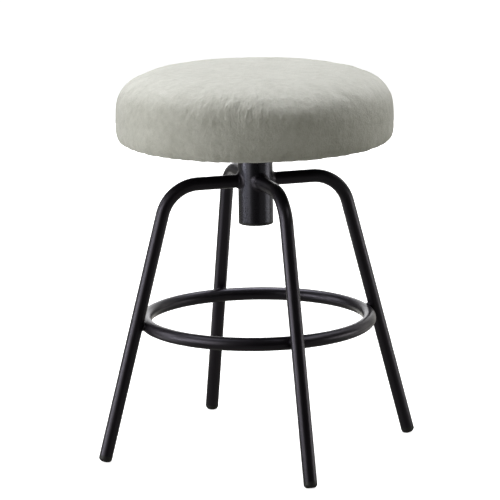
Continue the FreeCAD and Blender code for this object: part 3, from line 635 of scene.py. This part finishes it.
def turned_quads(profile, rings, n, core, last_core):
    """A closed turned form in quads. profile is a list of (r, z) that starts
    and ends on the axis, and rings are arc lengths along it. A square grid
    closes each end. Returns places (arc length and angle) and faces."""
    arc = arc_lengths(profile)
    x, y = disc_grid(n)
    reach, turn = np.hypot(x, y), np.arctan2(y, x)
    loop = disc_loop(n)
    s_of, a_of, faces = [], [], []

    def grid(start, size, flip):
        base = len(s_of)
        for i in range(n + 1):
            for j in range(n + 1):
                s_of.append(start + size * reach[i, j])
                a_of.append(turn[i, j])
        at = lambda i, j: base + i * (n + 1) + j
        for i in range(n):
            for j in range(n):
                quad = (at(i, j), at(i + 1, j), at(i + 1, j + 1), at(i, j + 1))
                faces.append(quad[::-1] if flip else quad)
        return [at(i, j) for i, j in loop]

    def join(inner, outer):
        for j in range(len(loop)):
            k = (j + 1) % len(loop)
            faces.append((inner[j], outer[j], outer[k], inner[k]))

    last = grid(0.0, core, False)
    begin_s = np.array([s_of[k] for k in last])
    begin_a = np.array([a_of[k] for k in last])
    even = np.linspace(0, 2 * math.pi, len(loop), endpoint=False) - math.pi / 4
    away = np.arctan2(np.sin(even - begin_a), np.cos(even - begin_a))
    blend = 3                                   # rings from the grid's outline to a circle
    for k in range(len(rings) + blend):
        share = smooth_step(k + 1, 0, 9)
        if k < blend:
            part = (k + 1) / (blend + 1)
            s_ring = begin_s * (1 - part) + rings[0] * part
        else:
            s_ring = np.full(len(loop), rings[k - blend])
        ring = list(range(len(s_of), len(s_of) + len(loop)))
        s_of.extend(s_ring)
        a_of.extend(begin_a + away * share)
        join(last, ring)
        last = ring
    ends = grid(arc[-1], -last_core, True)
    join(last, ends)
    s_of, a_of = np.array(s_of), np.array(a_of)
    r = np.interp(s_of, arc, profile[:, 0])
    z = np.interp(s_of, arc, profile[:, 1])
    co = np.stack([r * np.cos(a_of), r * np.sin(a_of), z], axis=1)
    return co, faces, s_of, a_of


# ---------------------------------------------------------------- cushion

COVER_LOW, COVER_HIGH = box_mm("seat_cover")
BOARD_LOW, BOARD_HIGH = box_mm("seat_board")
SEAT_R, SEAT_TOP, SEAT_FLOOR = COVER_HIGH[0] - 0.15, COVER_HIGH[2] - 0.1, COVER_LOW[2]
SEAT_WAIST = SEAT_FLOOR + 25.3
LIP = 142.4


def cushion_profile():
    """Half section of the cushion in mm: crowned top, full shoulder, upright
    side, tight lower edge, the cloth turned under as far as its lip, and the
    hollow that the board fills."""
    points = []
    for t in np.linspace(0, math.pi / 2, 500):
        points.append((SEAT_R * math.sin(t) ** (2 / 3.95),
                       SEAT_WAIST + (SEAT_TOP - SEAT_WAIST) * max(0.0, math.cos(t)) ** (2 / 3.61)))
    fall = SEAT_WAIST - SEAT_FLOOR
    for u in np.linspace(0, 1, 600)[1:]:
        drop = 1 - (1 - u) ** 2.6
        r = SEAT_R * max(0.0, 1 - drop ** 2.4) ** (1 / 41)
        if r < 160:
            break
        points.append((r, SEAT_WAIST - fall * drop))
    board_r, low, top = BOARD_HIGH[0] + 0.25, BOARD_LOW[2], BOARD_HIGH[2] + 0.05
    marks = {}
    for name, spot in (("turn", (158.0, SEAT_FLOOR)), ("lip_out", (LIP + 0.5, SEAT_FLOOR)),
                       ("lip_low", (LIP, SEAT_FLOOR + 0.5)), ("lip_top", (LIP, low - 0.5)),
                       ("lip_in", (LIP + 0.5, low)), ("edge_a", (board_r - 0.6, low)),
                       ("edge_b", (board_r, low + 0.6)), ("edge_c", (board_r, top - 0.6)),
                       ("edge_d", (board_r - 0.6, top)), ("middle", (0.0, top))):
        marks[name] = len(points)
        points.append(spot)
    profile = np.array(points)
    arc = arc_lengths(profile)
    return profile, {name: arc[k] for name, k in marks.items()}


def pleat_heights(angle, count, seed):
    """Knife pleats of uneven width: 0 at a fold's foot, rising to its crest."""
    pick = np.random.default_rng(seed)
    widths = 1 + pick.uniform(-0.35, 0.35, count)
    edges = np.concatenate([[0], np.cumsum(widths)]) / widths.sum() * 2 * math.pi
    tall = pick.uniform(0.55, 1.0, count)
    lean = pick.uniform(size=count) < 0.5
    turn = np.mod(angle, 2 * math.pi)
    k = np.clip(np.searchsorted(edges, turn, side="right") - 1, 0, count - 1)
    t = (turn - edges[k]) / (edges[k + 1] - edges[k])
    t = np.where(lean[k], 1 - t, t)
    return tall[k] * smooth_step(t, 0.0, 0.75) * (1 - smooth_step(t, 0.80, 1.0))


def brushed_share(s, turn):
    """How far the nap is brushed downwards: most on the front of the shoulder,
    where hands and legs rub, and little on the top and the sides."""
    around = np.angle(np.exp(1j * (turn - math.radians(-110))))
    front = 0.12 + 0.88 * np.exp(-(around / math.radians(24)) ** 2)
    edge = smooth_step(s, 138, 162) * (1 - smooth_step(s, 178, 208))
    return 0.09 + 0.91 * edge * front


# Where the filling is fuller (+) or slacker (-) than the even section: degrees
# round, width in degrees, height, spread in height and fullness, in mm.
FILLING = ((-92, 9, 463, 9, 2.2), (-118, 13, 488, 8, 0.9), (-115, 12, 455, 10, -1.3),
           (-52, 14, 462, 10, -0.8))


def fullness(co):
    turn, total = np.arctan2(co[:, 1], co[:, 0]), np.zeros(len(co))
    for middle, wide, high, tall, by in FILLING:
        around = np.degrees(np.angle(np.exp(1j * (turn - math.radians(middle)))))
        total += by * np.exp(-0.5 * (around / wide) ** 2 - 0.5 * ((co[:, 2] / MM - high) / tall) ** 2)
    return total


def make_cushion():
    profile, mark = cushion_profile()
    n, core, last_core = 56, 92.0, 118.0
    first = core * 1.05 + 10
    show = np.linspace(first, mark["lip_out"], int((mark["lip_out"] - first) / 4.3) + 1)
    rings = list(show) + [mark["lip_low"], mark["lip_top"], mark["lip_in"]]
    rings += [mark["lip_in"] + (mark["edge_a"] - mark["lip_in"]) * t for t in (0.4, 0.75)]
    rings += [mark[k] for k in ("edge_a", "edge_b", "edge_c", "edge_d")]
    rings += [mark["edge_d"] + 14.0]
    co, faces, s_of, a_of = turned_quads(profile, rings, n, core, last_core)
    cushion = new_object("seat_cushion", co * MM, faces)
    mesh = cushion.data
    keep_vectors(mesh, "flat", np.stack([s_of * np.cos(a_of), s_of * np.sin(a_of), 0 * s_of], 1) * MM)
    keep_vectors(mesh, "fall", np.stack([SEAT_R * np.cos(a_of), SEAT_R * np.sin(a_of), s_of], 1) * MM)
    keep_vectors(mesh, "brushed", np.stack([brushed_share(s_of, a_of), 0 * s_of, 0 * s_of], 1))

    # Gathers: the cloth turned under is laid in small pleats, which run out
    # on the lower edge.
    normal = normals_of(mesh)
    rest = points_of(mesh)
    outer = s_of <= mark["lip_out"]
    shape = (smooth_step(s_of, mark["turn"] - 42, mark["turn"] - 14)
             * (1 - smooth_step(s_of, mark["turn"] - 6, mark["turn"] + 1)) * outer)
    folds = pleat_heights(a_of, 52, 5)
    rest += normal * ((folds - 0.25) * 1.15 * MM * shape)[:, None]
    set_points(mesh, rest)
    held = s_of > mark["turn"] - 12
    swell(cushion, rest, held, s_of)

    divide = cushion.modifiers.new("divide", "SUBSURF")
    divide.levels = divide.render_levels = 1
    baked(cushion)
    mesh = cushion.data
    co, normal = points_of(mesh), normals_of(mesh)
    fall = vectors_of(mesh, "fall")
    open_side = 1 - smooth_step(fall[:, 2] / MM, mark["turn"] - 16, mark["turn"] - 4)
    brushed = vectors_of(mesh, "brushed")[:, 0]
    bumps = (wander(co, 0.075, 3) * 0.55 + wander(co, 0.028, 7) * 0.22
             + wander(fall * np.array([1, 1, 0.45]), 0.0105, 11, 2) * 1.0 * brushed + fullness(co))
    set_points(mesh, co + normal * (bumps * open_side * MM)[:, None])
    return cushion


def swell(cushion, rest, held, s_of):
    """Inflates the cover over its filling by cloth simulation, from a slightly
    smaller start, and keeps the result."""
    mesh = cushion.data
    normal = normals_of(mesh)
    ease = np.where(held, 0.0, smooth_step(-s_of, -s_of[held].min(), -s_of[held].min() + 25))
    uneven = wander(rest, 0.07, 21) * 0.5 + wander(rest, 0.024, 23) * 0.15
    set_points(mesh, rest + normal * ((uneven - 2.4) * ease * MM)[:, None])
    group = cushion.vertex_groups.new(name="held")
    group.add([int(i) for i in np.nonzero(held)[0]], 1.0, "REPLACE")
    cloth = cushion.modifiers.new("cloth", "CLOTH")
    c = cloth.settings
    c.quality = 6
    c.mass = 0.25
    c.tension_stiffness = c.compression_stiffness = 18
    c.shear_stiffness = 9
    c.bending_stiffness = 0.8
    c.tension_damping = c.compression_damping = 12
    c.shear_damping = 8
    c.bending_damping = 1.0
    c.air_damping = 6
    c.use_pressure = True
    c.uniform_pressure_force = 4.0
    c.vertex_group_mass = "held"
    c.effector_weights.gravity = 0
    cloth.collision_settings.use_collision = False
    cloth.collision_settings.use_self_collision = False
    cloth.point_cache.frame_start, cloth.point_cache.frame_end = 1, 20
    for f in range(1, 21):
        scene.frame_set(f)
    graph = bpy.context.evaluated_depsgraph_get()
    moved = cushion.evaluated_get(graph).to_mesh()
    final = points_of(moved)
    cushion.evaluated_get(graph).to_mesh_clear()
    cushion.modifiers.remove(cloth)
    cushion.vertex_groups.remove(group)
    scene.frame_set(1)
    # The swelling is kept as what it does to the even section: its mean round
    # the seat is taken off, because the section itself is already the swollen
    # one, and the unevenness stays, to a limit.
    step = final - rest
    turn = np.arctan2(rest[:, 1], rest[:, 0])
    out = np.stack([np.cos(turn), np.sin(turn), 0 * turn], axis=1)
    radial, rise = (step * out).sum(1), step[:, 2]
    across = step - out * radial[:, None]
    across[:, 2] = 0
    free = np.nonzero(~held)[0]
    spots = np.arange(0, s_of[free].max() + 4, 4.0)
    near = np.exp(-0.5 * ((spots[:, None] - s_of[free][None, :]) / 3.5) ** 2)
    near /= near.sum(1, keepdims=True)
    radial -= np.interp(s_of, spots, near @ radial[free])
    rise -= np.interp(s_of, spots, near @ rise[free])
    step = out * radial[:, None] + across * 0.5
    step[:, 2] = rise
    size = np.linalg.norm(step, axis=1, keepdims=True)
    step *= 0.5 * np.minimum(1.0, 0.0024 / np.maximum(size, 1e-9))
    step[held] = 0
    print("swell mm: mean %.2f, largest %.2f" % (size[free].mean() / MM, size[free].max() / MM))
    set_points(mesh, rest + step)


cushion = make_cushion()
cushion.data.materials.clear()
cushion.data.materials.append(CLOTH)
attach(cushion, "seat")
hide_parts("seat_cover", "seat_foam")

# ------------------------------------------------------------------ welds

HUB_R = box_mm("hub_tube")[1][0]
TUBE_R = box_mm("leg_right")[1][1]
ARM_Z = box_mm("leg_right")[1][2] - TUBE_R
RING_LOW, RING_HIGH = box_mm("foot_ring")
RING_R, RING_Z = RING_HIGH[0] - TUBE_R, (RING_LOW[2] + RING_HIGH[2]) / 2
LEAN, ROOT_GAP = math.radians(14.72), 0.3


def quarter_turns(co):
    """The same points at the right, back, left and front legs."""
    turns = []
    for k in range(4):
        c, s = math.cos(k * math.pi / 2), math.sin(k * math.pi / 2)
        turns.append(np.stack([co[:, 0] * c - co[:, 1] * s, co[:, 0] * s + co[:, 1] * c, co[:, 2]], 1))
    return turns


def closed_loop_faces(around, across):
    """Quads of a closed tube of points: around columns of across points."""
    faces = []
    for i in range(around):
        j = (i + 1) % around
        for k in range(across):
            m = (k + 1) % across
            faces.append((i * across + k, j * across + k, j * across + m, i * across + m))
    return faces


def ripple(phi, t, count, seed):
    """The scales of a weld bead: crescents one behind the other."""
    slow = 0.5 * np.sin(3 * phi + seed) + 0.35 * np.sin(5 * phi + 2.1 * seed)
    wave = count * phi + slow - 2.4 * (2 * t - 1) ** 2
    saw = np.mod(wave / (2 * math.pi), 1.0)
    return (smooth_step(saw, 0, 0.8) * (1 - smooth_step(saw, 0.82, 1.0)) - 0.45) * (4 * t * (1 - t))


def arm_fillet(seed):
    """A hollow fillet weld right round one arm, where it meets the hub."""
    around, across = 234, 13
    phi = np.linspace(0, 2 * math.pi, around, endpoint=False)[:, None]
    t = np.linspace(0, 1, across)[None, :]
    leg = 4.0 + 0.25 * np.sin(2 * phi + seed) + 0.18 * np.sin(5 * phi + 1.7 * seed)
    s, c = np.sin(phi), np.cos(phi)

    def on_hub(radius):
        y, z = radius * s, radius * c
        return np.stack([np.sqrt(HUB_R ** 2 - y ** 2), y, z], -1)

    root = on_hub(TUBE_R)
    toe = root + np.stack([leg, 0 * leg, 0 * leg], -1)
    heel = on_hub(TUBE_R + leg)
    middle = root + 0.2 * (toe - root) + 0.2 * (heel - root)
    w = t[..., None]
    bead = (1 - w) ** 2 * toe + 2 * w * (1 - w) * middle + w ** 2 * heel
    out_arm = np.stack([0 * s, s, c], -1)
    out_hub = heel * np.array([1.0, 1.0, 0.0])
    out_hub /= np.linalg.norm(out_hub, axis=-1, keepdims=True)
    out = (1 - w) * out_arm + w * out_hub
    out /= np.linalg.norm(out, axis=-1, keepdims=True)
    bead = bead + out * (0.16 * ripple(phi, t, 26, seed))[..., None]
    sunk = np.concatenate([heel - 0.4 * out_hub, root - 0.45 * out_arm - 0.45 * out_hub,
                           toe - 0.4 * out_arm], axis=1)
    loop = np.concatenate([bead, sunk], axis=1)
    co = loop.reshape(-1, 3) + np.array([0, 0, ARM_Z])
    return co, closed_loop_faces(around, across + 3)


def ring_fillet(seed):
    """The weld in the crossing of the foot ring and one leg: it fills the
    gap about the point where the two tubes touch, with a hollow outside."""
    around, across = 150, 11
    psi = np.linspace(0, 2 * math.pi, around, endpoint=False)[:, None]
    t = np.linspace(0, 1, across)[None, :]
    out = np.array([math.cos(LEAN), 0, math.sin(LEAN)])
    side = np.array([0.0, 1.0, 0.0])
    up = np.array([-math.sin(LEAN), 0, math.cos(LEAN)])
    half = TUBE_R + ROOT_GAP / 2
    spot = np.array([RING_R, 0, RING_Z]) + out * half

    def place(u, v, h):
        return spot + u[..., None] * side + v[..., None] * up + h[..., None] * out

    def leg_face(u):
        return half - np.sqrt(np.maximum(TUBE_R ** 2 - u ** 2, 0))

    def ring_face(u, v):
        low, high = np.full(u.shape, -half), np.full(u.shape, 2.0)
        for _ in range(40):
            mid = (low + high) / 2
            p = place(u, v, mid)
            gap = np.hypot(np.hypot(p[..., 0], p[..., 1]) - RING_R, p[..., 2] - RING_Z) - TUBE_R
            low, high = np.where(gap < 0, mid, low), np.where(gap < 0, high, mid)
        return (low + high) / 2

    reach = 7.2 + 0.25 * np.sin(2 * psi + seed) + 0.15 * np.sin(5 * psi + 2 * seed)
    u, v = reach * np.cos(psi), reach * np.sin(psi)
    top, low = place(u, v, leg_face(u)), place(u, v, ring_face(u, v))
    waist = reach - 3.2
    uw, vw = waist * np.cos(psi), waist * np.sin(psi)
    middle = place(uw, vw, (leg_face(uw) + ring_face(uw, vw)) / 2)
    w = t[..., None]
    bead = (1 - w) ** 2 * top + 2 * w * (1 - w) * middle + w ** 2 * low
    away = np.cos(psi)[..., None] * side + np.sin(psi)[..., None] * up
    bead = bead + away * (0.14 * ripple(psi, t, 17, seed))[..., None]
    sunk = np.concatenate([low - 0.45 * out - 0.1 * away, place(0.3 * u, 0.3 * v, 0 * u - 0.9),
                           place(0.3 * u, 0.3 * v, 0 * u + 0.9), top + 0.45 * out - 0.1 * away], axis=1)
    loop = np.concatenate([bead, sunk], axis=1)
    wide = across + 4
    faces = []
    for i in range(around):
        j = (i + 1) % around
        for k in range(wide):
            m = (k + 1) % wide
            if (k, m) != (across + 1, across + 2):
                faces.append((i * wide + k, j * wide + k, j * wide + m, i * wide + m))
    co = list(loop.reshape(-1, 3))
    for k, flip in ((across + 1, False), (across + 2, True)):
        centre = len(co)
        co.append(loop[:, k].mean(0))
        for i in range(around):
            j = (i + 1) % around
            tri = (i * wide + k, j * wide + k, centre)
            faces.append(tri[::-1] if flip else tri)
    return np.array(co), faces


def make_welds(name, fillet, stands_for):
    co, faces = [], []
    for k in range(4):
        one, quads = fillet(1.3 + 0.9 * k)
        base = sum(len(c) for c in co)
        co.append(quarter_turns(one)[k])
        faces += [tuple(base + i for i in q) for q in quads]
    weld = new_object(name, np.concatenate(co) * MM, faces)
    bm = bmesh.new()
    bm.from_mesh(weld.data)
    bmesh.ops.recalc_face_normals(bm, faces=bm.faces)
    bm.to_mesh(weld.data)
    bm.free()
    weld.data.materials.append(COAT)
    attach(weld, "base")
    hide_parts(stands_for)
    return weld


make_welds("hub_welds", arm_fillet, "hub_weld_beads")
make_welds("ring_welds", ring_fillet, "ring_weld_beads")

# ------------------------------------------------------------- dust cover

DUST_LOW, DUST_HIGH = box_mm("dust_cover")
DUST_R = DUST_HIGH[0]
PLATE_HALF = box_mm("seat_plate")[1][0]
STAPLES, STAPLE_R = 24, 150.0


def sheet_drop(x, y):
    """How far the lining hangs below its highest face, in mm: flat over the
    plate, a little slack beyond it, down over the edge of the seat cloth, and
    drawn up to the board at each staple."""
    r, turn = np.hypot(x, y), np.arctan2(y, x)
    step = (DUST_HIGH[2] - DUST_LOW[2] - 0.5) * smooth_step(r, 135.5, 141.5)
    beyond = smooth_step(np.maximum(np.abs(x), np.abs(y)), PLATE_HALF + 1.5, PLATE_HALF + 26)
    free = beyond * (1 - smooth_step(r, 122, 140))
    flat = np.stack([x, y, 0 * x], -1).reshape(-1, 3) * MM
    slack = (0.55 + 0.5 * wander(flat, 0.055, 31).reshape(x.shape)
             + 0.22 * wander(flat, 0.018, 33).reshape(x.shape))
    pulls = 0.5 + 0.5 * np.cos(STAPLES * turn + 0.5 * np.sin(3 * turn))
    fold = smooth_step(r, 92, 138) * (1 - smooth_step(r, 146, 152))
    wrinkle = 0.38 * fold * (1 - pulls) ** 2
    pitch = 2 * math.pi / STAPLES
    near = (np.mod(turn + pitch / 2, pitch) - pitch / 2) * STAPLE_R
    along = np.maximum(np.abs(near) - 5.0, 0)
    dimple = np.exp(-0.5 * (along / 3.2) ** 2 - 0.5 * ((r - STAPLE_R) / 3.0) ** 2)
    hem = smooth_step(r, 143.2, 145.0) * (1 - smooth_step(r, DUST_R - 1.2, DUST_R + 0.4))
    puff = hem * (0.34 + 0.16 * wander(flat, 0.012, 35).reshape(x.shape)) * (1 - dimple)
    return step + np.maximum(free * slack, 0) + wrinkle * (1 - dimple) + np.maximum(puff, 0)


def make_dust_cover():
    n, half = 48, 67.5
    grid = np.linspace(-half, half, n + 1)
    spots, faces, index = [], [], {}
    holes = [(sx * 45.0, sy * 45.0) for sx in (1, -1) for sy in (1, -1)]
    block = 2 * (grid[1] - grid[0])

    def at(i, j):
        if (i, j) not in index:
            index[(i, j)] = len(spots)
            spots.append((grid[i], grid[j]))
        return index[(i, j)]

    for i in range(n):
        for j in range(n):
            cx, cy = (grid[i] + grid[i + 1]) / 2, (grid[j] + grid[j + 1]) / 2
            if not any(abs(cx - hx) < block and abs(cy - hy) < block for hx, hy in holes):
                faces.append((at(i, j), at(i + 1, j), at(i + 1, j + 1), at(i, j + 1)))
    rims = []
    for hx, hy in holes:
        ci, cj = int(np.argmin(abs(grid - hx))), int(np.argmin(abs(grid - hy)))
        edge = ([(ci + 2, cj - 2 + k) for k in range(4)] + [(ci + 2 - k, cj + 2) for k in range(4)]
                + [(ci - 2, cj + 2 - k) for k in range(4)] + [(ci - 2 + k, cj - 2) for k in range(4)])
        outer = [at(i, j) for i, j in edge]
        inner = []
        for k in outer:
            px, py = spots[k][0] - hx, spots[k][1] - hy
            inner.append(len(spots))
            spots.append((hx + 3.7 * px / math.hypot(px, py), hy + 3.7 * py / math.hypot(px, py)))
        for k in range(16):
            m = (k + 1) % 16
            faces.append((inner[k], outer[k], outer[m], inner[m]))
        rims.append(inner)
    last = [at(i, j) for i, j in disc_loop(n)]
    square = np.array([spots[k] for k in last])
    first_turn = np.arctan2(square[:, 1], square[:, 0])
    even = np.linspace(0, 2 * math.pi, len(last), endpoint=False) - math.pi / 4
    away = np.arctan2(np.sin(even - first_turn), np.cos(even - first_turn))
    radii = np.concatenate([np.arange(102, 134, 3.2), np.arange(134, DUST_R - 0.6, 1.5), [DUST_R - 0.5, DUST_R]])
    for k in range(6 + len(radii)):
        if k < 6:
            part = (k + 1) / 7
            turn = first_turn + away * part * 0.5
            ring = square * (1 - part) + 99.0 * part * np.stack([np.cos(turn), np.sin(turn)], 1)
        else:
            turn = first_turn + away * (0.5 + 0.5 * smooth_step(k - 5, 0, 8))
            ring = radii[k - 6] * np.stack([np.cos(turn), np.sin(turn)], 1)
        here = list(range(len(spots), len(spots) + len(last)))
        spots.extend(map(tuple, ring))
        for j in range(len(last)):
            m = (j + 1) % len(last)
            faces.append((last[j], here[j], here[m], last[m]))
        last = here
    flat = np.array(spots)
    drop = sheet_drop(flat[:, 0], flat[:, 1])
    count = len(flat)
    hem = smooth_step(np.hypot(flat[:, 0], flat[:, 1]), 143.2, 145.0)
    top = np.minimum(DUST_HIGH[2] - drop, DUST_HIGH[2] - (DUST_HIGH[2] - DUST_LOW[2] - 0.5) * hem)
    low = DUST_HIGH[2] - drop - 0.5
    co = np.concatenate([np.column_stack([flat, top]), np.column_stack([flat, low])])
    sides = []
    for loop, flip in [(last, False)] + [(rim, True) for rim in rims]:
        for j in range(len(loop)):
            m = (j + 1) % len(loop)
            quad = (loop[j], loop[j] + count, loop[m] + count, loop[m])
            sides.append(quad[::-1] if flip else quad)
    below = [tuple(k + count for k in f[::-1]) for f in faces]
    cover = new_object("seat_lining", co * MM, faces + below + sides)
    bm = bmesh.new()
    bm.from_mesh(cover.data)
    bmesh.ops.recalc_face_normals(bm, faces=bm.faces)
    bm.to_mesh(cover.data)
    bm.free()
    cover.data.materials.append(LINING)
    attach(cover, "seat")
    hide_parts("dust_cover")
    return cover


make_dust_cover()
